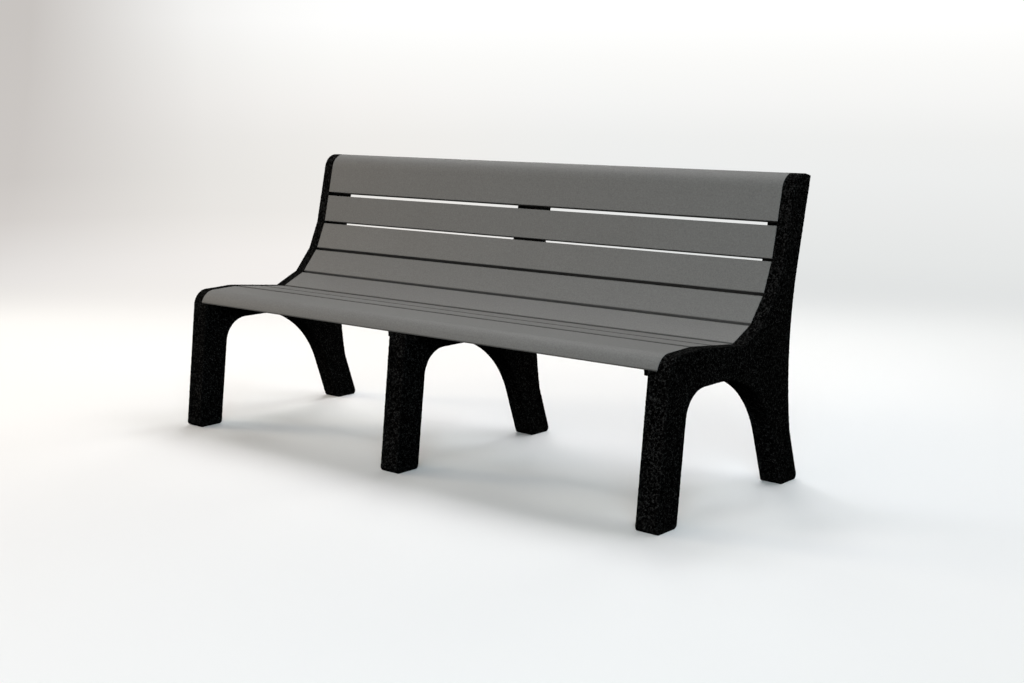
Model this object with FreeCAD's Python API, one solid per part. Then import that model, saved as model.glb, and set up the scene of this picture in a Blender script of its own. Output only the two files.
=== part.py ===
import FreeCAD, Part

import math
import os

from FreeCAD import Vector

# Park bench with a contoured back: three moulded plastic frames carry eight plastic-lumber slats, and
# lag screws with washers hold every slat to the ledge of each frame from behind.
# Millimetres, +Z up. The bench faces -Y and runs along X. The origin is on the ground, under the middle.

# ---------------------------------------------------------------- driving dimensions
BENCH_LENGTH = 1828.8
FRAME_WIDTH = 63.5
LIP_WIDTH = 37.6
SLAT_THICKNESS = 38.1
NARROW_SLAT = 88.9
WIDE_SLAT = 139.7
SLAT_END_GAP = 0.5
SLAT_EDGE_RADIUS = 2.0

# Side profile. Distances run back from the toe of the front leg and up from the ground.
SEAT_START_BACK = 42.5
SEAT_START_HEIGHT = 434.4
NOSE_RADIUS = 50.8

# Each facet of the sitting surface: its lean from level in degrees, and its length.
FACETS = [
    (1.5, 142.75),
    (-6.0, 200.2),
    (24.2, 97.0),
    (49.3, 97.4),
    (66.1, 97.8),
    (77.2, 244.0),
]

# Each slat: its name, the facet it lies on, the distance from that facet's start, and its width.
SLATS = [
    ("front_edge_slat", 0, -4.5, WIDE_SLAT),
    ("front_seat_slat", 1, 4.4, NARROW_SLAT),
    ("rear_seat_slat", 1, 106.9, NARROW_SLAT),
    ("lumbar_slat", 2, 4.05, NARROW_SLAT),
    ("lower_back_slat", 3, 4.25, NARROW_SLAT),
    ("middle_back_slat", 4, 4.45, NARROW_SLAT),
    ("upper_back_slat", 5, 3.4, NARROW_SLAT),
    ("top_rail_slat", 5, 104.3, WIDE_SLAT),
]

# Legs and the arch between them.
TOE_BACK = -7.8
FRONT_LEG_BACK = 81.0
ARCH_HEIGHT = 338.8
ARCH_FRONT_CORNER = 121.7
ARCH_FRONT_RADIUS = 81.0
ARCH_REAR_CORNER = 480.1
ARCH_REAR_RADIUS = 292.0
REAR_LEG_FRONT = 597.0
HEEL_BACK = 686.0
FOOT_RADIUS = 12.0

# Rear edge of the frame: a straight post, a long hollow curve, then the splayed rear leg.
POST_DEPTH = 77.0
POST_LEAN = 13.4
POST_CORNER_RADIUS = 3.0
HOLLOW_RADIUS = 1139.0
HOLLOW_HEIGHT = 345.0
KNEE_HEIGHT = 146.0

# The ledge that the slats are screwed to. It stands out from the web of the frame.
LEDGE_THICKNESS = 19.05
LEDGE_OVERHANG = 25.4
LEDGE_FRONT_SETBACK = 14.0
LEDGE_TOP_SETBACK = 22.0

# Lag screws and washers.
SCREW_RADIUS = 3.175
SCREW_LENGTH = 50.8
SCREW_POINT = 5.0
HEAD_SIDES = 6
HEAD_FLATS = 11.1
HEAD_HEIGHT = 4.4
HEAD_CHAMFER = 0.7
WASHER_RADIUS = 7.95
WASHER_THICKNESS = 1.6
CLEARANCE_RADIUS = 3.6
PILOT_RADIUS = 3.2
PILOT_MARGIN = 1.5

# Pitch of a slat's two screws across it. On the two wide slats, whose outer edges are rounded, the pair
# sits this much nearer the neighbouring slat than the middle of the width.
NARROW_SCREW_PITCH = 44.45
WIDE_SCREW_PITCH = 50.8
WIDE_SCREW_SHIFT = 15.0

# ---------------------------------------------------------------- derived positions
FRAME_OUTER_X = BENCH_LENGTH / 2
FRAME_INNER_X = FRAME_OUTER_X - FRAME_WIDTH
LEDGE_INNER_X = FRAME_INNER_X - LEDGE_OVERHANG
MIDDLE_HALF = FRAME_WIDTH / 2
SLAT_HALF = FRAME_OUTER_X - LIP_WIDTH - SLAT_END_GAP
END_SCREW_X = FRAME_INNER_X - LEDGE_OVERHANG / 2
MIDDLE_SCREW_X = MIDDLE_HALF + LEDGE_OVERHANG / 2
SCREW_XS = (-END_SCREW_X, -MIDDLE_SCREW_X, MIDDLE_SCREW_X, END_SCREW_X)

# How far cutting shapes reach: well past the bench, and just past a face that they cut through.
FAR = 400.0
CUT_MARGIN = 1.0


# ---------------------------------------------------------------- outline helpers
def on_profile(back, height):
    """Point of the side profile, in the plane X = 0."""
    return Vector(0, back, height)


def facet_direction(index):
    lean = math.radians(FACETS[index][0])
    return Vector(0, math.cos(lean), math.sin(lean))


def facet_normal(index):
    """Unit vector into the bench, away from the sitter."""
    lean = math.radians(FACETS[index][0])
    return Vector(0, math.sin(lean), -math.cos(lean))


def facet_corners():
    """Ends of the facets, from the front edge of the seat to the top of the back."""
    corners = [on_profile(SEAT_START_BACK, SEAT_START_HEIGHT)]
    for index, (lean, length) in enumerate(FACETS):
        corners.append(corners[-1] + facet_direction(index) * length)
    return corners


CORNERS = facet_corners()


def facet_point(index, distance, depth):
    """Point a distance along a facet and a depth below it."""
    return CORNERS[index] + facet_direction(index) * distance + facet_normal(index) * depth


def crossing(first, second):
    """Where two lines of the profile meet; each line is a point and a direction."""
    (p, u), (q, v) = first, second
    cross = u.y * v.z - u.z * v.y
    step = ((q.y - p.y) * v.z - (q.z - p.z) * v.y) / cross
    return p + u * step


def line_below(index, depth):
    return facet_point(index, 0, depth), facet_direction(index)


def chain_below(depth):
    """Corners of the facets' chain, at a depth below the sitting surface."""
    inner = [crossing(line_below(i, depth), line_below(i + 1, depth)) for i in range(len(FACETS) - 1)]
    start = facet_point(0, 0, depth)
    end = facet_point(len(FACETS) - 1, FACETS[-1][1], depth)
    return [start] + inner + [end]


def straight(start, end):
    return Part.LineSegment(start, end).toShape()


def rounded_edges(corners):
    """Edges through corners given as (point, radius), each inner corner rounded by a tangent arc."""
    edges = []
    here = corners[0][0]
    for (before, _), (point, radius), (after, _) in zip(corners, corners[1:], corners[2:]):
        if radius == 0:
            edges.append(straight(here, point))
            here = point
            continue
        back = (before - point).normalize()
        forward = (after - point).normalize()
        half = back.getAngle(forward) / 2
        begin = point + back * (radius / math.tan(half))
        middle = point + (back + forward).normalize() * (radius / math.sin(half) - radius)
        end = point + forward * (radius / math.tan(half))
        edges += [straight(here, begin), Part.Arc(begin, middle, end).toShape()]
        here = end
    edges.append(straight(here, corners[-1][0]))
    return edges


def extruded(edges, x_low, x_high):
    """Solid between two values of X, from the edges of a closed profile."""
    face = Part.Face(Part.Wire(edges))
    face.translate(Vector(x_low, 0, 0))
    return face.extrude(Vector(x_high - x_low, 0, 0))


def polygon_edges(points):
    """Edges of a closed polygon with sharp corners."""
    return [straight(a, b) for a, b in zip(points, points[1:] + points[:1])]


# ---------------------------------------------------------------- frames
def full_outline():
    """Closed side profile of a whole frame, from the knee of the rear leg and round by the arch."""
    lean = math.radians(POST_LEAN)
    last = len(FACETS) - 1
    top_front = CORNERS[-1]
    top_rear = top_front + facet_normal(last) * POST_DEPTH
    hollow_top_height = HOLLOW_HEIGHT + HOLLOW_RADIUS * math.sin(lean)
    drop = top_rear.z - hollow_top_height
    hollow_top = on_profile(top_rear.y - drop * math.tan(lean), hollow_top_height)
    centre_back = hollow_top.y + HOLLOW_RADIUS * math.cos(lean)
    hollow_middle = on_profile(centre_back - HOLLOW_RADIUS, HOLLOW_HEIGHT)
    rise = HOLLOW_HEIGHT - KNEE_HEIGHT
    knee = on_profile(centre_back - math.sqrt(HOLLOW_RADIUS**2 - rise**2), KNEE_HEIGHT)
    corners = [
        (knee, 0),
        (on_profile(HEEL_BACK, 0), FOOT_RADIUS),
        (on_profile(REAR_LEG_FRONT, 0), FOOT_RADIUS),
        (on_profile(ARCH_REAR_CORNER, ARCH_HEIGHT), ARCH_REAR_RADIUS),
        (on_profile(ARCH_FRONT_CORNER, ARCH_HEIGHT), ARCH_FRONT_RADIUS),
        (on_profile(FRONT_LEG_BACK, 0), FOOT_RADIUS),
        (on_profile(TOE_BACK, 0), FOOT_RADIUS),
        (CORNERS[0], NOSE_RADIUS),
    ]
    corners += [(corner, 0) for corner in CORNERS[1:-1]]
    corners += [(top_front, NOSE_RADIUS), (top_rear, POST_CORNER_RADIUS), (hollow_top, 0)]
    return rounded_edges(corners) + [Part.Arc(hollow_top, hollow_middle, knee).toShape()]


def slat_space(x_low, x_high):
    """The space above the slats' bed, which the web of a frame stays out of."""
    bed = chain_below(SLAT_THICKNESS)
    bed[0] = facet_point(0, -FAR, SLAT_THICKNESS)
    bed[-1] = facet_point(len(FACETS) - 1, FACETS[-1][1] + FAR, SLAT_THICKNESS)
    above = [bed[-1] + on_profile(-FAR, FAR), bed[0] + on_profile(-FAR, FAR)]
    return extruded(polygon_edges(bed + above), x_low, x_high)


def ledge(x_low, x_high):
    """Band under the slats, from behind the front edge of the seat to just below the top."""
    last = len(FACETS) - 1
    upper = chain_below(SLAT_THICKNESS)
    lower = chain_below(SLAT_THICKNESS + LEDGE_THICKNESS)
    length = FACETS[-1][1] - LEDGE_TOP_SETBACK
    upper[0] = facet_point(0, LEDGE_FRONT_SETBACK, SLAT_THICKNESS)
    lower[0] = facet_point(0, LEDGE_FRONT_SETBACK, SLAT_THICKNESS + LEDGE_THICKNESS)
    upper[-1] = facet_point(last, length, SLAT_THICKNESS)
    lower[-1] = facet_point(last, length, SLAT_THICKNESS + LEDGE_THICKNESS)
    return extruded(polygon_edges(upper + lower[::-1]), x_low, x_high)


def web(x_low, x_high):
    """Frame profile up to the slats' bed."""
    whole = extruded(full_outline(), x_low, x_high)
    return whole.cut(slat_space(x_low - CUT_MARGIN, x_high + CUT_MARGIN))


def middle_frame():
    reach = MIDDLE_HALF + LEDGE_OVERHANG
    return web(-MIDDLE_HALF, MIDDLE_HALF).fuse(ledge(-reach, reach)).removeSplitter()


def right_frame():
    """End frame: a lip as high as the slats outside, the slats' bed and the ledge inside."""
    lip = extruded(full_outline(), FRAME_OUTER_X - LIP_WIDTH, FRAME_OUTER_X)
    inner = web(FRAME_INNER_X, FRAME_OUTER_X - LIP_WIDTH)
    shelf = ledge(LEDGE_INNER_X, FRAME_OUTER_X - LIP_WIDTH)
    return lip.fuse([inner, shelf]).removeSplitter()


# ---------------------------------------------------------------- slats
def slat(facet, start, width):
    """Plank on a facet. The first and last follow the rounded nose and top of the frames."""
    surface = [
        facet_point(facet, start, 0),
        facet_point(facet, start + width, 0),
        facet_point(facet, start + width, SLAT_THICKNESS),
        facet_point(facet, start, SLAT_THICKNESS),
    ]
    middle = (surface[3] + surface[0]) * 0.5
    ring = [(middle, 0)] + [(corner, SLAT_EDGE_RADIUS) for corner in surface] + [(middle, 0)]
    plank = extruded(rounded_edges(ring), -SLAT_HALF, SLAT_HALF)
    if width == WIDE_SLAT:
        plank = plank.common(extruded(full_outline(), -SLAT_HALF, SLAT_HALF))
    return plank.removeSplitter()


# ---------------------------------------------------------------- fasteners
def screw_distances(facet, start, width):
    """Distances along the facet of the two screws across a slat."""
    middle = start + width / 2
    pitch = NARROW_SCREW_PITCH
    if width == WIDE_SLAT:
        middle += WIDE_SCREW_SHIFT if facet == 0 else -WIDE_SCREW_SHIFT
        pitch = WIDE_SCREW_PITCH
    return middle - pitch / 2, middle + pitch / 2


def screw_places(facet, start, width):
    """Where each screw of a slat leaves the ledge's lower face, as placements of a screw along +Z."""
    turn = FreeCAD.Rotation(Vector(0, 0, 1), facet_normal(facet) * -1)
    places = []
    for x in SCREW_XS:
        for distance in screw_distances(facet, start, width):
            foot = facet_point(facet, distance, SLAT_THICKNESS + LEDGE_THICKNESS)
            places.append(FreeCAD.Placement(foot + Vector(x, 0, 0), turn))
    return places


def lag_screw():
    """Hexagon-headed lag screw. Z = 0 is the ledge's lower face, and the point is up."""
    low = -WASHER_THICKNESS - HEAD_HEIGHT
    corner_radius = HEAD_FLATS / math.sqrt(3)
    ring = []
    for step in range(HEAD_SIDES):
        angle = 2 * math.pi * step / HEAD_SIDES
        ring.append(Vector(corner_radius * math.cos(angle), corner_radius * math.sin(angle), low))
    hexagon = Part.Face(Part.makePolygon(ring + ring[:1])).extrude(Vector(0, 0, HEAD_HEIGHT))
    cone = Part.makeCone(
        corner_radius - HEAD_CHAMFER,
        corner_radius - HEAD_CHAMFER + HEAD_HEIGHT,
        HEAD_HEIGHT,
        Vector(0, 0, low),
    )
    parallel = SCREW_LENGTH - SCREW_POINT
    shank = Part.makeCylinder(SCREW_RADIUS, parallel, Vector(0, 0, -WASHER_THICKNESS))
    point = Part.makeCone(SCREW_RADIUS, 0.0, SCREW_POINT, Vector(0, 0, parallel - WASHER_THICKNESS))
    return hexagon.common(cone).fuse([shank, point]).removeSplitter()


def washer():
    base = Vector(0, 0, -WASHER_THICKNESS)
    disc = Part.makeCylinder(WASHER_RADIUS, WASHER_THICKNESS, base)
    return disc.cut(Part.makeCylinder(CLEARANCE_RADIUS, WASHER_THICKNESS, base))


def clearance_hole():
    length = LEDGE_THICKNESS + 2 * CUT_MARGIN
    return Part.makeCylinder(CLEARANCE_RADIUS, length, Vector(0, 0, -CUT_MARGIN))


def pilot_hole():
    depth = SCREW_LENGTH - WASHER_THICKNESS - LEDGE_THICKNESS + PILOT_MARGIN
    base = Vector(0, 0, LEDGE_THICKNESS - CUT_MARGIN)
    return Part.makeCylinder(PILOT_RADIUS, depth + CUT_MARGIN, base)


def placed(shape, places):
    """One copy of a shape at each placement, kept as separate solids."""
    copies = []
    for place in places:
        copy = shape.copy()
        copy.Placement = place
        copies.append(copy)
    return copies


# ---------------------------------------------------------------- assembly
def build():
    """All the pieces of the bench by name, in profile coordinates."""
    nodes = {}
    clearance_holes = []
    for name, facet, start, width in SLATS:
        places = screw_places(facet, start, width)
        nodes[name] = slat(facet, start, width).cut(placed(pilot_hole(), places))
        nodes[name + "_screws"] = Part.makeCompound(placed(lag_screw(), places))
        nodes[name + "_washers"] = Part.makeCompound(placed(washer(), places))
        clearance_holes += placed(clearance_hole(), places)
    right = right_frame()
    nodes["left_frame"] = right.mirror(Vector(0, 0, 0), Vector(1, 0, 0)).cut(clearance_holes)
    nodes["middle_frame"] = middle_frame().cut(clearance_holes)
    nodes["right_frame"] = right.cut(clearance_holes)
    return nodes


os.makedirs("parts", exist_ok=True)
pieces = build()
frame_box = pieces["right_frame"].BoundBox
to_middle = Vector(0, -(frame_box.YMin + frame_box.YMax) / 2, 0)
for node, shape in pieces.items():
    shape.translate(to_middle)
    shape.exportStep(os.path.join("parts", node + ".step"))
    box = shape.BoundBox
    print(
        f"{node}: {len(shape.Solids)} solids, valid {shape.isValid()}, volume {shape.Volume / 1e3:.1f} cm3, "
        f"y {box.YMin:.2f} to {box.YMax:.2f}, z {box.ZMin:.2f} to {box.ZMax:.2f}"
    )
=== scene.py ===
import math

import bmesh
import bpy
import numpy as np
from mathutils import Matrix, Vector, noise


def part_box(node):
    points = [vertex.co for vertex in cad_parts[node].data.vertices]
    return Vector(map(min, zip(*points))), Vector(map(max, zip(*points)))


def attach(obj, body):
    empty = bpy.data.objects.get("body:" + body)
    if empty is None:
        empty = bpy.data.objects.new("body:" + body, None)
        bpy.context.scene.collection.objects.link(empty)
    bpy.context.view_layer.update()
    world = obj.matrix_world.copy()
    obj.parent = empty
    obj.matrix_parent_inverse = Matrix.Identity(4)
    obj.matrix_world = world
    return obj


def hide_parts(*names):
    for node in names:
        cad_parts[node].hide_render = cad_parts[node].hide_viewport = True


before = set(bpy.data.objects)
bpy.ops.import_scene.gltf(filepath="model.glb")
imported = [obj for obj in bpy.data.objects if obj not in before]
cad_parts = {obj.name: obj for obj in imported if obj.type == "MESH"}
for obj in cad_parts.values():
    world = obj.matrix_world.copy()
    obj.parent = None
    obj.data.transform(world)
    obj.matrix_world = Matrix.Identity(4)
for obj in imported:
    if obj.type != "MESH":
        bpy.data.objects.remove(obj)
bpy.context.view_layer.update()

# Park bench: three black moulded frames with a pebbled skin, eight planks of grey plastic lumber and the
# black lag screws that hold them. Metres, +Z up, the bench faces -Y.

FRAMES = ("left_frame", "middle_frame", "right_frame")
SCREWS = "_screws"
WASHERS = "_washers"
SLATS = tuple(name.removesuffix(SCREWS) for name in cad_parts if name.endswith(SCREWS))

# ---------------------------------------------------------------- driving values
# Corners closer than this are one corner, and places are rounded to this many decimals to be compared.
WELD = 1e-6
DECIMALS = 6

# Screw holes in the frames' ledges, by distance from the screw's axis and along it.
HOLE_REACH = 0.0045
HOLE_DEPTH = 0.03

# Frames: the fineness of their even mesh, the turn that makes an edge sharp enough to be softened, how much
# it is softened, and the nearness to an edge that the corners beside it are given.
CELL_DEPTH = 9
CELL_SHARE = 0.64
EDGE_TURN = math.radians(35)
EDGE_SMOOTHING = 0.5
BESIDE_EDGE = 0.35

# Frames: size and relief of the pebbles, the grain and the dents, how quickly a pebble rises to its flat top,
# and how far the skin stands off the CAD.
PEBBLE_SIZE = 0.0095
PEBBLE_RELIEF = 0.0007
PEBBLE_STEEPNESS = 1.6
GRAIN_SIZE = 0.0055
GRAIN_RELIEF = 0.00018
DENT_SIZE = 0.06
DENT_RELIEF = 0.0002
SKIN_RISE = 0.0004

# Slats: spacing of the mesh along and across a plank, the longest side that belongs to a rounded corner,
# the shortest that gets more corners, the rounds of subdivision, and how far and how often the faces wander.
PLANK_STEP = 0.06
PLANK_END_STEP = 0.002
PLANK_ACROSS_STEP = 0.018
PLANK_CORNER_STEP = 0.0025
PLANK_CORNER_SIDE = 0.6 * PLANK_CORNER_STEP
PLANK_LONG_SIDE = 3 * PLANK_CORNER_STEP
PLANK_SUBDIVISIONS = 2
PLANK_WAVE = 0.00015
PLANK_WAVE_SIZE = 0.22

# Painted shade along the planks' corners, where the gaps between them fall dark, by how flat a plank lies:
# none if its depth is up to this share of its height, rising to all of it at a share that is one more.
STEEP_SHARE = 0.5

# Camera: its lens and sensor in millimetres, its place, and its turn about each axis in degrees.
LENS = 50.0
SENSOR_WIDTH = 36.0
CAMERA_PLACE = (2.7771, -3.1245, 1.0669)
CAMERA_TURN = (79.992, 0.0, 39.965)

# Studio: a flat floor, then a wall that rises in an arc.
FLOOR_RADIUS = 3.4
FLOOR_RINGS = 4
FLOOR_SPOKES = 128
WALL_RADIUS = 6.0
WALL_RINGS = 40
WALL_TURN = math.radians(88)

# Backdrop, which glows with painted light and shade, measured along ACROSS: where its dim side ends and its
# middle starts, where its middle ends and its right side starts, and the turn from dim to middle as (share of
# that way, share of the middle). Each side's painted glow is given as (share of the backdrop's height,
# colour).
ACROSS = Vector((0.6, 0.8, 0.0))
DIM_END, MIDDLE_START = -2.0, 1.2
MIDDLE_END, RIGHT_START = 0.4, 2.4
MIDDLE_SHARES = [
    (0.05, 0.0), (0.175, 0.25), (0.3, 0.51), (0.425, 0.74), (0.575, 0.88), (0.75, 0.97), (1.0, 1.0),
]
BACKDROP_HEIGHT = 2.0
DIM_SIDE = [
    (0.0, (0.845, 0.82, 0.79)), (0.035, (0.79, 0.765, 0.745)), (0.07, (0.74, 0.715, 0.695)),
    (0.15, (0.65, 0.62, 0.597)), (0.26, (0.60, 0.572, 0.55)), (0.8, (0.578, 0.552, 0.53)),
]
MIDDLE_SIDE = [
    (0.0, (0.92, 0.89, 0.865)), (0.055, (0.92, 0.89, 0.865)), (0.1, (0.89, 0.865, 0.835)),
    (0.15, (0.865, 0.845, 0.815)), (0.25, (0.865, 0.85, 0.82)), (0.37, (0.88, 0.865, 0.84)),
    (0.5, (0.93, 0.915, 0.895)), (0.65, (0.97, 0.965, 0.945)), (0.8, (1.02, 1.02, 1.01)),
]
RIGHT_SIDE = [
    (0.0, (0.75, 0.765, 0.765)), (0.055, (0.785, 0.80, 0.795)), (0.14, (0.815, 0.825, 0.82)),
    (0.25, (0.845, 0.855, 0.85)), (0.37, (0.865, 0.87, 0.86)), (0.5, (0.92, 0.92, 0.91)),
    (0.65, (0.965, 0.965, 0.95)), (0.8, (1.02, 1.02, 1.01)),
]

# The paint is all floor, which the lamps light, nearer than the first of these distances from the middle, and
# all glowing backdrop past the second.
PAINT_NEAR, PAINT_FAR = 0.9, 4.2

# Light: where the lamps point, the strength of the white light from all round, and each lamp's name, place,
# width and depth, power in watts, and colour.
LAMP_TARGET = Vector((0.0, 0.0, 0.2))
AMBIENT = 0.01
LAMPS = [
    ("over_back", (-0.5, 1.8, 3.8), (0.9, 0.9), 27.0, (1.0, 1.0, 0.98)),
    ("over_middle", (0.6, 1.0, 4.0), (1.2, 1.2), 16.0, (0.97, 0.97, 1.0)),
    ("over_left", (-1.6, 0.9, 3.7), (1.2, 1.2), 32.0, (1.0, 0.97, 0.98)),
    ("over_right", (2.2, 1.6, 3.6), (2.4, 2.4), 39.0, (0.98, 0.98, 1.0)),
    ("high_left", (-2.6, 1.8, 3.0), (0.9, 0.9), 13.0, (0.95, 1.0, 0.95)),
    ("front_right", (3.6, -4.2, 2.6), (3.0, 3.0), 178.0, (0.775, 0.94, 1.0)),
    ("front_left", (-2.8, -4.0, 2.6), (3.0, 3.0), 38.0, (1.0, 0.76, 0.62)),
    ("front", (0.3, -4.6, 1.8), (3.0, 2.4), 62.0, (1.0, 0.93, 0.89)),
    ("left_front", (-4.2, -1.8, 2.2), (1.4, 1.4), 62.0, (1.0, 0.85, 0.66)),
    ("left_low", (-4.4, 0.2, 0.8), (1.2, 1.2), 56.0, (1.0, 1.0, 0.92)),
    ("back_left", (-2.4, 3.4, 1.8), (1.6, 1.6), 32.0, (1.0, 1.0, 0.95)),
    ("back_low", (0.6, 4.2, 1.4), (1.6, 1.6), 34.0, (1.0, 0.95, 0.85)),
    ("back", (0.0, 4.0, 2.4), (2.4, 2.4), 24.0, (0.85, 0.95, 1.0)),
    ("right", (4.2, 1.0, 2.4), (1.6, 1.6), 25.0, (1.0, 1.0, 0.9)),
]


# ---------------------------------------------------------------- node helpers
def new_material(name):
    """A new material, with its nodes, its links and its main shader."""
    material = bpy.data.materials.new(name)
    material.use_nodes = True
    nodes = material.node_tree.nodes
    return material, nodes, material.node_tree.links, nodes["Principled BSDF"]


def ramp(nodes, links, source, stops):
    """Colour ramp over a value; each stop is a position and a grey level or a colour."""
    node = nodes.new("ShaderNodeValToRGB")
    elements = node.color_ramp.elements
    while len(elements) < len(stops):
        elements.new(0.5)  # the loop below moves it
    for element, (position, level) in zip(elements, stops):
        element.position = position
        element.color = (*level, 1) if isinstance(level, tuple) else (level, level, level, 1)
    links.new(source, node.inputs["Fac"])
    return node.outputs["Color"]


# Places of the mix node's factor and two colours among its inputs, and of the colour among its outputs.
MIX_FACTOR, MIX_FIRST, MIX_SECOND = 0, 6, 7
MIX_RESULT = 2


def mixed(nodes, links, factor, first, second, kind="MIX"):
    """Colour mix; the factor and the two colours are sockets or plain values."""
    node = nodes.new("ShaderNodeMix")
    node.data_type = "RGBA"
    node.blend_type = kind
    for index, value in ((MIX_FACTOR, factor), (MIX_FIRST, first), (MIX_SECOND, second)):
        if isinstance(value, bpy.types.NodeSocket):
            links.new(value, node.inputs[index])
        else:
            node.inputs[index].default_value = value
    return node.outputs[MIX_RESULT]


def product(nodes, links, first, second):
    """Product of two colours."""
    return mixed(nodes, links, 1.0, first, second, "MULTIPLY")


def surface_coordinates(nodes, links, scale=(1, 1, 1)):
    """Place on the piece in metres, times a scale for each axis; below one, it draws a pattern out."""
    place = nodes.new("ShaderNodeTexCoord")
    mapping = nodes.new("ShaderNodeMapping")
    mapping.inputs["Scale"].default_value = scale
    links.new(place.outputs["Object"], mapping.inputs["Vector"])
    return mapping.outputs["Vector"]


def noise_on(nodes, links, vector, scale, detail, roughness=0.55, distortion=0.0):
    """Noise over a place; its scale is in patches per metre, and the rest are the node's own settings."""
    node = nodes.new("ShaderNodeTexNoise")
    node.inputs["Distortion"].default_value = distortion
    node.inputs["Scale"].default_value = scale
    node.inputs["Detail"].default_value = detail
    node.inputs["Roughness"].default_value = roughness
    links.new(vector, node.inputs["Vector"])
    return node.outputs["Fac"]


def span(nodes, links, source, low, high, kind="LINEAR"):
    """From nought to one as a value goes from low to high."""
    node = nodes.new("ShaderNodeMapRange")
    node.interpolation_type = kind
    node.inputs["From Min"].default_value = low
    node.inputs["From Max"].default_value = high
    links.new(source, node.inputs["Value"])
    return node.outputs["Result"]


def bump(nodes, links, height, distance, strength, below=None):
    """Normal of a surface raised by a height, on top of the normal of the bump below it if there is one."""
    node = nodes.new("ShaderNodeBump")
    node.inputs["Distance"].default_value = distance
    node.inputs["Strength"].default_value = strength
    links.new(height, node.inputs["Height"])
    if below is not None:
        links.new(below, node.inputs["Normal"])
    return node.outputs["Normal"]


def attribute(nodes, name):
    """The number that a mesh keeps for each of its corners under this name."""
    node = nodes.new("ShaderNodeAttribute")
    node.attribute_name = name
    return node.outputs["Color"]


# ---------------------------------------------------------------- materials
# Noise scales are in patches per metre. Each _STOPS is a ramp from a noise or an attribute to a share, a
# brightness or a roughness, and each _BUMP is the depth of a relief and its strength.

# Frame plastic.
BLACK = (0.0001, 0.0001, 0.0001, 1)
# Flecks: partly the plastic's own, partly painted glints off the pebbles.
FLECK_AND_GLINT = (0.0245, 0.0245, 0.0242, 1)
RUBBED_BLACK = (0.01, 0.01, 0.01, 1)
FLECK_SCALE = 200
FLECK_CROOK = 1.2
SKIN_GRAIN_SCALE = 700
PATCH_SCALE = 9
FLECK_AND_GLINT_STOPS = [(0.515, 0.0), (0.64, 1.0)]
# Painted light on the pebbles' crowns and painted shade in the hollows between them.
CROWN_LIGHT_STOPS = [(0.1, 0.6), (0.6, 1.0)]
PATCH_STOPS = [(0.3, 0.85), (0.7, 1.1)]
RUBBED_STOPS = [(0.42, 0.0), (0.7, 0.5)]
SKIN_ROUGHNESS_STOPS = [(0.35, 0.7), (0.65, 0.5)]
SKIN_SPECULAR = 0.004
FLECK_BUMP = (0.0016, 0.8)
SKIN_GRAIN_BUMP = (0.0004, 0.4)

# Slat plastic. Its flow lines are a noise drawn out along the plank.
GREY = (0.152, 0.1505, 0.1475, 1)
LIGHT_GREY = (0.163, 0.163, 0.161, 1)
# Painted shade for the dark gaps between planks.
PAINTED_GAP_SHADE = (0.04, 0.04, 0.038, 1)
CLOUD_SCALE = 3.5
FLOW_SCALE = 240
FLOW_SHAPE = (0.03, 1, 1)
PLANK_GRAIN_SCALE = 900
SPECK_SCALE = 260
STREAK_STOPS = [(0.25, 0.98), (0.75, 1.02)]
SPECK_STOPS = [(0.3, 0.85), (0.7, 1.12)]
CORNER_STOPS = [(0.65, 0.0), (1.0, 0.85)]
# How much the painted gap shade varies with the specks.
GAP_SHADE_STOPS = [(0.3, 0.7), (0.7, 1.0)]
PLANK_ROUGHNESS_STOPS = [(0.3, 0.55), (0.7, 0.65)]
PLANK_SPECULAR = 0.14
FLOW_BUMP = (0.0002, 0.25)
PLANK_GRAIN_BUMP = (0.0002, 0.3)

# Steel of the screws and washers.
# Near-black painted shade: the fasteners are kept as dark as the shade under the seat.
SHADE_DARK_STEEL = (0.012, 0.012, 0.012, 1)
WORN_STEEL = (0.06, 0.06, 0.062, 1)
WEAR_SCALE = 420
MARK_SCALE = 2200
WEAR_STOPS = [(0.5, 0.0), (0.75, 1.0)]
STEEL_ROUGHNESS_STOPS = [(0.3, 0.6), (0.7, 0.42)]
STEEL_METALLIC = 0.6
STEEL_SPECULAR = 0.2
MARK_BUMP = (0.0001, 0.3)

# Floor.
FLOOR_WHITE = (0.815, 0.82, 0.837, 1)


def frame_plastic():
    """Black moulded plastic: short crooked flecks on the pebbles, black between them, and rubbed edges. The
    flecks are partly the plastic's own and partly painted glints, brighter on the pebbles' crowns and dimmed
    by painted shade in the hollows between them.
    """
    material, nodes, links, shader = new_material("frame_plastic")
    place = surface_coordinates(nodes, links)
    grain = noise_on(nodes, links, place, SKIN_GRAIN_SCALE, detail=3.0, roughness=0.6)
    flecks = noise_on(nodes, links, place, FLECK_SCALE, detail=1.0, roughness=0.5, distortion=FLECK_CROOK)
    patches = noise_on(nodes, links, place, PATCH_SCALE, detail=2.0)
    # Flecks, partly painted glints, bright on the pebbles' crowns and dimmed by painted shade in their
    # hollows.
    bright = ramp(nodes, links, flecks, FLECK_AND_GLINT_STOPS)
    crown_light = ramp(nodes, links, attribute(nodes, "crown"), CROWN_LIGHT_STOPS)
    base = mixed(nodes, links, product(nodes, links, bright, crown_light), BLACK, FLECK_AND_GLINT)
    base = product(nodes, links, base, ramp(nodes, links, patches, PATCH_STOPS))
    rubbed = ramp(nodes, links, grain, RUBBED_STOPS)
    rubbed = product(nodes, links, attribute(nodes, "edge"), rubbed)
    links.new(mixed(nodes, links, rubbed, base, RUBBED_BLACK), shader.inputs["Base Color"])
    links.new(ramp(nodes, links, flecks, SKIN_ROUGHNESS_STOPS), shader.inputs["Roughness"])
    shader.inputs["Specular IOR Level"].default_value = SKIN_SPECULAR
    relief = bump(nodes, links, flecks, *FLECK_BUMP)
    links.new(bump(nodes, links, grain, *SKIN_GRAIN_BUMP, relief), shader.inputs["Normal"])
    return material


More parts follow.
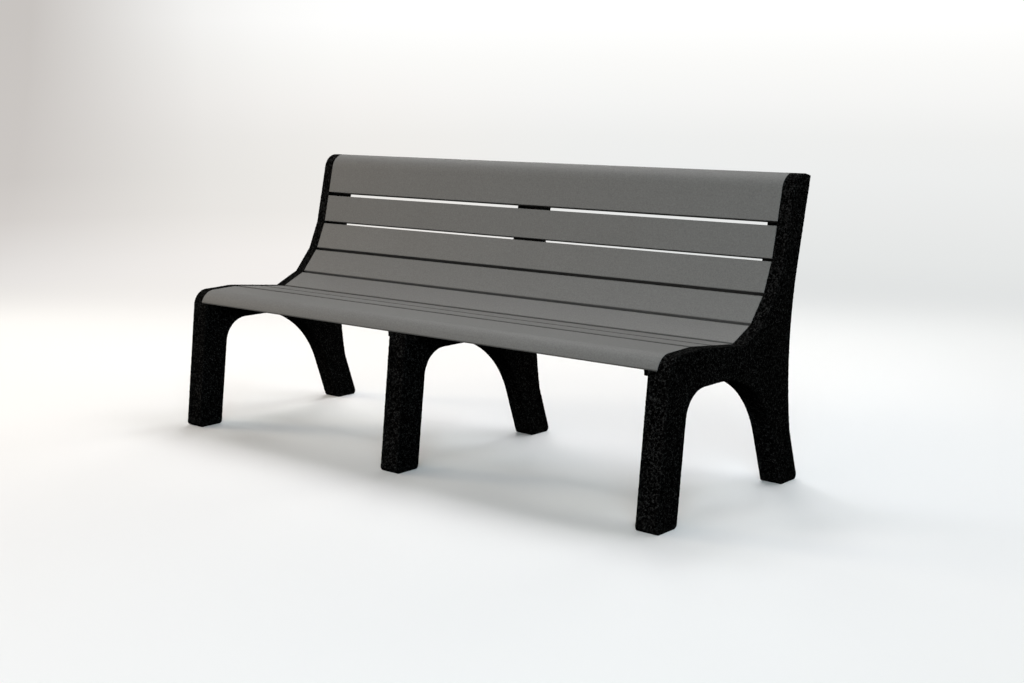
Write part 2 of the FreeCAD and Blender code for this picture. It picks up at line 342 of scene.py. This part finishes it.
def slat_plastic():
    """Grey plastic lumber: specks, faint flow lines along the plank, a very fine grain, and painted shade
    along the corners of the planks that lie level, where the gaps between them fall dark."""
    material, nodes, links, shader = new_material("slat_plastic")
    place = surface_coordinates(nodes, links)
    along = surface_coordinates(nodes, links, FLOW_SHAPE)
    cloud = noise_on(nodes, links, place, CLOUD_SCALE, detail=2.0)
    flow = noise_on(nodes, links, along, FLOW_SCALE, detail=3.0, roughness=0.6)
    grain = noise_on(nodes, links, place, PLANK_GRAIN_SCALE, detail=3.0, roughness=0.7)
    speck = noise_on(nodes, links, place, SPECK_SCALE, detail=2.0, roughness=0.5)
    base = mixed(nodes, links, cloud, GREY, LIGHT_GREY)
    base = product(nodes, links, base, ramp(nodes, links, flow, STREAK_STOPS))
    base = product(nodes, links, base, ramp(nodes, links, speck, SPECK_STOPS))
    # Painted shade along the rounded corners of level planks, as dark as the gaps between them in shade.
    corner = ramp(nodes, links, attribute(nodes, "edge"), CORNER_STOPS)
    gap_shade = product(nodes, links, corner, ramp(nodes, links, speck, GAP_SHADE_STOPS))
    gap_shade = product(nodes, links, gap_shade, attribute(nodes, "level"))
    links.new(mixed(nodes, links, gap_shade, base, PAINTED_GAP_SHADE), shader.inputs["Base Color"])
    links.new(ramp(nodes, links, speck, PLANK_ROUGHNESS_STOPS), shader.inputs["Roughness"])
    shader.inputs["Specular IOR Level"].default_value = PLANK_SPECULAR
    relief = bump(nodes, links, flow, *FLOW_BUMP)
    links.new(bump(nodes, links, grain, *PLANK_GRAIN_BUMP, relief), shader.inputs["Normal"])
    return material


def black_steel():
    """Steel fasteners kept near-black, as dark as the shade under the seat where they sit, so that no head
    catches the light; a little lighter metal shows where it is worn.
    """
    material, nodes, links, shader = new_material("black_steel")
    place = surface_coordinates(nodes, links)
    marks = noise_on(nodes, links, place, MARK_SCALE, detail=3.0, roughness=0.7)
    wear = noise_on(nodes, links, place, WEAR_SCALE, detail=3.0)
    bare = ramp(nodes, links, wear, WEAR_STOPS)
    links.new(mixed(nodes, links, bare, SHADE_DARK_STEEL, WORN_STEEL), shader.inputs["Base Color"])
    shader.inputs["Metallic"].default_value = STEEL_METALLIC
    links.new(ramp(nodes, links, wear, STEEL_ROUGHNESS_STOPS), shader.inputs["Roughness"])
    shader.inputs["Specular IOR Level"].default_value = STEEL_SPECULAR
    links.new(bump(nodes, links, marks, *MARK_BUMP), shader.inputs["Normal"])
    return material


# ---------------------------------------------------------------- mesh helpers
def islands(node):
    """The separate shells of a CAD node, each as an array of its corners."""
    shell = bmesh.new()
    shell.from_mesh(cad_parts[node].data)
    bmesh.ops.remove_doubles(shell, verts=shell.verts, dist=WELD)
    waiting = set(shell.verts)
    found = []
    while waiting:
        stack = [waiting.pop()]
        part = []
        while stack:
            corner = stack.pop()
            part.append(tuple(corner.co))
            linked = {edge.other_vert(corner) for edge in corner.link_edges} & waiting
            waiting -= linked
            stack.extend(sorted(linked, key=lambda v: v.index))
        found.append(np.array(part))
    shell.free()
    return found


def screw_axes():
    """Centre and direction of each washer, which is where a screw goes through a frame's ledge."""
    axes = []
    for slat in SLATS:
        for corners in islands(slat + WASHERS):
            centre = corners.mean(axis=0)
            direction = np.linalg.svd(corners - centre)[2][2]
            axes.append((centre, direction))
    return axes


def near_axis(points, centre, direction):
    """Which points lie on the wall of the hole round a screw."""
    offset = points - centre
    along = offset @ direction
    radial = np.linalg.norm(offset - np.outer(along, direction), axis=1)
    return (radial < HOLE_REACH) & (np.abs(along) < HOLE_DEPTH)


def show(name, mesh, material, node):
    """Puts a new piece into the scene in place of a CAD node."""
    piece = bpy.data.objects.new(name, mesh)
    bpy.context.scene.collection.objects.link(piece)
    mesh.materials.clear()
    mesh.materials.append(material)
    mesh.shade_smooth()
    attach(piece, "root")
    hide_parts(node)
    return piece


def corner_array(mesh):
    """The places of a mesh's corners, one row for each."""
    corners = np.empty(len(mesh.vertices) * 3)
    mesh.vertices.foreach_get("co", corners)
    return corners.reshape(-1, 3)


def store(mesh, name, values):
    """Keeps one number for each corner of a mesh, which its material reads."""
    layer = mesh.attributes.new(name, "FLOAT", "POINT")
    layer.data.foreach_set("value", np.asarray(values, dtype=np.float32))


# ---------------------------------------------------------------- frames
def closed_shell(node, axes):
    """A frame's CAD shell with the screw holes closed, which washers and slats cover."""
    shell = bmesh.new()
    shell.from_mesh(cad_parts[node].data)
    bmesh.ops.remove_doubles(shell, verts=shell.verts, dist=WELD)
    points = np.array([tuple(v.co) for v in shell.verts])
    walls = set()
    for centre, direction in axes:
        near = near_axis(points, centre, direction)
        if near.any():
            walls.update(f for f in shell.faces if all(near[v.index] for v in f.verts))
    bmesh.ops.delete(shell, geom=sorted(walls, key=lambda f: f.index), context="FACES")
    rims = [edge for edge in shell.edges if edge.is_boundary]
    bmesh.ops.holes_fill(shell, edges=rims, sides=0)
    bmesh.ops.recalc_face_normals(shell, faces=shell.faces)
    mesh = bpy.data.meshes.new(node + "_shell")
    shell.to_mesh(mesh)
    shell.free()
    return mesh


def even_mesh(mesh):
    """The same shape in even square cells, with its edges kept sharp."""
    holder = bpy.data.objects.new("even", mesh)
    bpy.context.scene.collection.objects.link(holder)
    cells = holder.modifiers.new("cells", "REMESH")
    cells.mode = "SHARP"
    cells.octree_depth = CELL_DEPTH
    cells.scale = CELL_SHARE
    cells.use_remove_disconnected = False
    graph = bpy.context.evaluated_depsgraph_get()
    result = bpy.data.meshes.new_from_object(holder.evaluated_get(graph))
    bpy.data.objects.remove(holder)
    return result


def soften_edges(shell):
    """Rounds the sharp edges a little, and returns how near each corner is to one."""
    sharp = set()
    for edge in shell.edges:
        if edge.calc_face_angle(0.0) > EDGE_TURN:
            sharp.update(edge.verts)
    ordered = sorted(sharp, key=lambda v: v.index)
    bmesh.ops.smooth_vert(
        shell, verts=ordered, factor=EDGE_SMOOTHING, use_axis_x=True, use_axis_y=True, use_axis_z=True
    )
    nearness = np.zeros(len(shell.verts))
    for corner in ordered:
        nearness[corner.index] = 1.0
        for edge in corner.link_edges:
            other = edge.other_vert(corner).index
            nearness[other] = max(nearness[other], BESIDE_EDGE)
    return nearness


def pebbled(shell):
    """Raises pebbles and grain on the moulded face, and returns how high each corner is on its pebble. The
    soles of the feet stay flat on the floor, and the tops of the posts just below the top rail's."""
    shell.normal_update()
    ceiling = max(corner.co.z for corner in shell.verts) - SKIN_RISE
    crowns = []
    moves = []
    for corner in shell.verts:
        spot = corner.co
        nearest = noise.voronoi(spot / PEBBLE_SIZE)[0]
        crown = min(1.0, PEBBLE_STEEPNESS * (nearest[1] - nearest[0]))
        grain = noise.noise(spot / GRAIN_SIZE)
        dent = noise.noise(spot / DENT_SIZE)
        pebble = crown - 0.5  # half of the relief goes outwards and half inwards
        height = SKIN_RISE + PEBBLE_RELIEF * pebble + GRAIN_RELIEF * grain + DENT_RELIEF * dent
        crowns.append(crown)
        moves.append(corner.normal * height)
    for corner, move in zip(shell.verts, moves):
        corner.co += move
        corner.co.z = min(max(corner.co.z, 0.0), ceiling)
    return crowns


def build_frame(node, axes, material):
    """A frame in even cells with softened edges and a pebbled skin, in place of its CAD node."""
    mesh = even_mesh(closed_shell(node, axes))
    shell = bmesh.new()
    shell.from_mesh(mesh)
    nearness = soften_edges(shell)
    crowns = pebbled(shell)
    shell.to_mesh(mesh)
    shell.free()
    store(mesh, "edge", nearness)
    store(mesh, "crown", crowns)
    show(node + "_moulding", mesh, material, node)


# ---------------------------------------------------------------- slats
def end_outline(node):
    """Depth and height of the corners of a slat's end, in order round its middle."""
    corners = corner_array(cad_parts[node].data)
    end = corners[corners[:, 0] > corners[:, 0].max() - WELD][:, 1:]
    end = np.unique(end.round(DECIMALS), axis=0)
    spokes = end - (end.max(axis=0) + end.min(axis=0)) / 2
    return end[np.argsort(np.arctan2(spokes[:, 1], spokes[:, 0]))]


def plank_stations(half):
    """Where the cross-sections of a plank stand along its length."""
    count = round(2 * half / PLANK_STEP)
    inner = np.linspace(-half, half, count + 1)[1:-1]
    ends = [half - PLANK_END_STEP, half]
    return np.concatenate([[-half, -half + PLANK_END_STEP], inner, ends])


def spread(outline):
    """The same outline with more corners on its long sides, close together beside the rounded ones."""
    fuller = []
    for here, following in zip(outline, np.roll(outline, -1, axis=0)):
        fuller.append(here)
        length = np.linalg.norm(following - here)
        if length < PLANK_LONG_SIDE:
            continue
        count = max(1, round((length - 2 * PLANK_CORNER_STEP) / PLANK_ACROSS_STEP))
        steps = np.linspace(PLANK_CORNER_STEP, length - PLANK_CORNER_STEP, count + 1)
        fuller += [here + (following - here) * step / length for step in steps]
    return np.array(fuller)


def near_corner(outline):
    """One for the points of an outline on its small rounded corners, and nought for the rest."""
    after = np.linalg.norm(np.roll(outline, -1, axis=0) - outline, axis=1)
    before = np.roll(after, 1)
    return np.where(np.minimum(before, after) < PLANK_CORNER_SIDE, 1.0, 0.0)


def build_slat(node, material):
    """A plank with rounded corners and slightly wandering faces, in place of its CAD node."""
    low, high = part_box(node)
    outline = spread(end_outline(node))
    stations = plank_stations((high.x - low.x) / 2)
    shell = bmesh.new()
    rings = []
    for x in stations:
        ring = []
        for depth, height in outline:
            wave = noise.noise(Vector((x, depth, height)) / PLANK_WAVE_SIZE) * PLANK_WAVE
            ring.append(shell.verts.new((x, depth + wave, height + wave)))
        rings.append(ring)
    count = len(outline)
    for near, far in zip(rings, rings[1:]):
        for k in range(count):
            following = (k + 1) % count
            shell.faces.new((near[k], far[k], far[following], near[following]))
    shell.faces.new(rings[0])
    shell.faces.new(rings[-1][::-1])
    bmesh.ops.recalc_face_normals(shell, faces=shell.faces)
    crease = shell.edges.layers.float.new("crease_edge")
    for ring in (rings[0], rings[-1]):
        for k in range(count):
            shell.edges.get((ring[k], ring[(k + 1) % count]))[crease] = 1.0
    mesh = bpy.data.meshes.new(node + "_plank")
    shell.to_mesh(mesh)
    shell.free()
    store(mesh, "edge", np.tile(near_corner(outline), len(stations)))
    # How level the plank lies sets how much painted shade its corners get.
    level = (high.y - low.y) / (high.z - low.z) - STEEP_SHARE
    store(mesh, "level", np.full(len(mesh.vertices), min(1.0, max(0.0, level))))
    piece = show(node + "_plank", mesh, material, node)
    rounder = piece.modifiers.new("rounder", "SUBSURF")
    rounder.levels = PLANK_SUBDIVISIONS
    rounder.render_levels = PLANK_SUBDIVISIONS


# ---------------------------------------------------------------- studio
def build_camera():
    """Camera in front of the bench on its +X side, a little above the seat and looking slightly down."""
    data = bpy.data.cameras.new("camera")
    data.lens = LENS
    data.sensor_width = SENSOR_WIDTH
    camera = bpy.data.objects.new("camera", data)
    camera.location = CAMERA_PLACE
    camera.rotation_euler = [math.radians(turn) for turn in CAMERA_TURN]
    bpy.context.scene.collection.objects.link(camera)
    bpy.context.scene.camera = camera


def studio_paint():
    """Pale floor that takes shadows, turning with distance into a backdrop that glows with painted light and
    shade.
    """
    material, nodes, links, shader = new_material("studio_paint")
    shader.inputs["Base Color"].default_value = FLOOR_WHITE
    shader.inputs["Roughness"].default_value = 1.0
    shader.inputs["Specular IOR Level"].default_value = 0.0
    place = nodes.new("ShaderNodeTexCoord").outputs["Object"]
    parts = nodes.new("ShaderNodeSeparateXYZ")
    links.new(place, parts.inputs["Vector"])
    across = nodes.new("ShaderNodeVectorMath")
    across.operation = "DOT_PRODUCT"
    across.inputs[1].default_value = ACROSS
    links.new(place, across.inputs[0])
    distance = nodes.new("ShaderNodeVectorMath")
    distance.operation = "LENGTH"
    links.new(place, distance.inputs[0])
    height = span(nodes, links, parts.outputs["Z"], 0.0, BACKDROP_HEIGHT)
    dim = ramp(nodes, links, height, DIM_SIDE)
    middle = ramp(nodes, links, height, MIDDLE_SIDE)
    right = ramp(nodes, links, height, RIGHT_SIDE)
    to_middle = span(nodes, links, across.outputs["Value"], DIM_END, MIDDLE_START)
    to_right = span(nodes, links, across.outputs["Value"], MIDDLE_END, RIGHT_START, "SMOOTHSTEP")
    middle_share = ramp(nodes, links, to_middle, MIDDLE_SHARES)
    backdrop = mixed(nodes, links, middle_share, dim, middle)
    backdrop = mixed(nodes, links, to_right, backdrop, right)
    glow = nodes.new("ShaderNodeEmission")
    links.new(backdrop, glow.inputs["Color"])
    blend = nodes.new("ShaderNodeMixShader")
    far = span(nodes, links, distance.outputs["Value"], PAINT_NEAR, PAINT_FAR, "SMOOTHSTEP")
    links.new(far, blend.inputs["Fac"])
    links.new(shader.outputs["BSDF"], blend.inputs[1])
    links.new(glow.outputs["Emission"], blend.inputs[2])
    links.new(blend.outputs["Shader"], nodes["Material Output"].inputs["Surface"])
    return material


def build_floor():
    """Round pale studio: a flat floor that sweeps up into a wall all the way round the bench."""
    shell = bmesh.new()
    sweep = [(FLOOR_RADIUS * k / FLOOR_RINGS, 0.0) for k in range(1, FLOOR_RINGS + 1)]
    for k in range(1, WALL_RINGS + 1):
        turn = WALL_TURN * k / WALL_RINGS
        radius = FLOOR_RADIUS + WALL_RADIUS * math.sin(turn)
        sweep.append((radius, WALL_RADIUS * (1 - math.cos(turn))))
    centre = shell.verts.new((0, 0, 0))
    rings = []
    for radius, height in sweep:
        ring = []
        for k in range(FLOOR_SPOKES):
            angle = 2 * math.pi * k / FLOOR_SPOKES
            place = (radius * math.cos(angle), radius * math.sin(angle), height)
            ring.append(shell.verts.new(place))
        rings.append(ring)
    for k in range(FLOOR_SPOKES):
        following = (k + 1) % FLOOR_SPOKES
        shell.faces.new((centre, rings[0][k], rings[0][following]))
        for inner, outer in zip(rings, rings[1:]):
            shell.faces.new((inner[k], outer[k], outer[following], inner[following]))
    mesh = bpy.data.meshes.new("floor")
    shell.to_mesh(mesh)
    shell.free()
    mesh.shade_smooth()
    mesh.materials.append(studio_paint())
    floor = bpy.data.objects.new("floor", mesh)
    bpy.context.scene.collection.objects.link(floor)
    floor.visible_diffuse = False
    floor.visible_glossy = False
    floor.visible_shadow = False


def build_lamp(name, place, size, power, colour):
    """Soft lamp, as wide and as deep as its size says, aimed at the bench."""
    data = bpy.data.lights.new(name, "AREA")
    data.shape = "ELLIPSE"
    data.size, data.size_y = size
    data.energy = power
    data.color = colour
    lamp = bpy.data.objects.new(name, data)
    lamp.location = place
    lamp.rotation_euler = (LAMP_TARGET - Vector(place)).to_track_quat("-Z", "Y").to_euler()
    bpy.context.scene.collection.objects.link(lamp)


def build_world():
    """Faint white light from all round."""
    world = bpy.data.worlds.new("studio")
    bpy.context.scene.world = world
    world.use_nodes = True
    background = world.node_tree.nodes["Background"]
    background.inputs["Color"].default_value = (1.0, 1.0, 1.0, 1)
    background.inputs["Strength"].default_value = AMBIENT


# ---------------------------------------------------------------- assembly
bpy.context.scene.view_settings.view_transform = "Standard"
build_camera()
build_world()
build_floor()
for lamp in LAMPS:
    build_lamp(*lamp)

black = frame_plastic()
grey = slat_plastic()
steel = black_steel()
axes = screw_axes()
for node in FRAMES:
    build_frame(node, axes, black)
for node in SLATS:
    build_slat(node, grey)
    for kind in (SCREWS, WASHERS):
        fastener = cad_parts[node + kind]
        fastener.data.materials.clear()
        fastener.data.materials.append(steel)
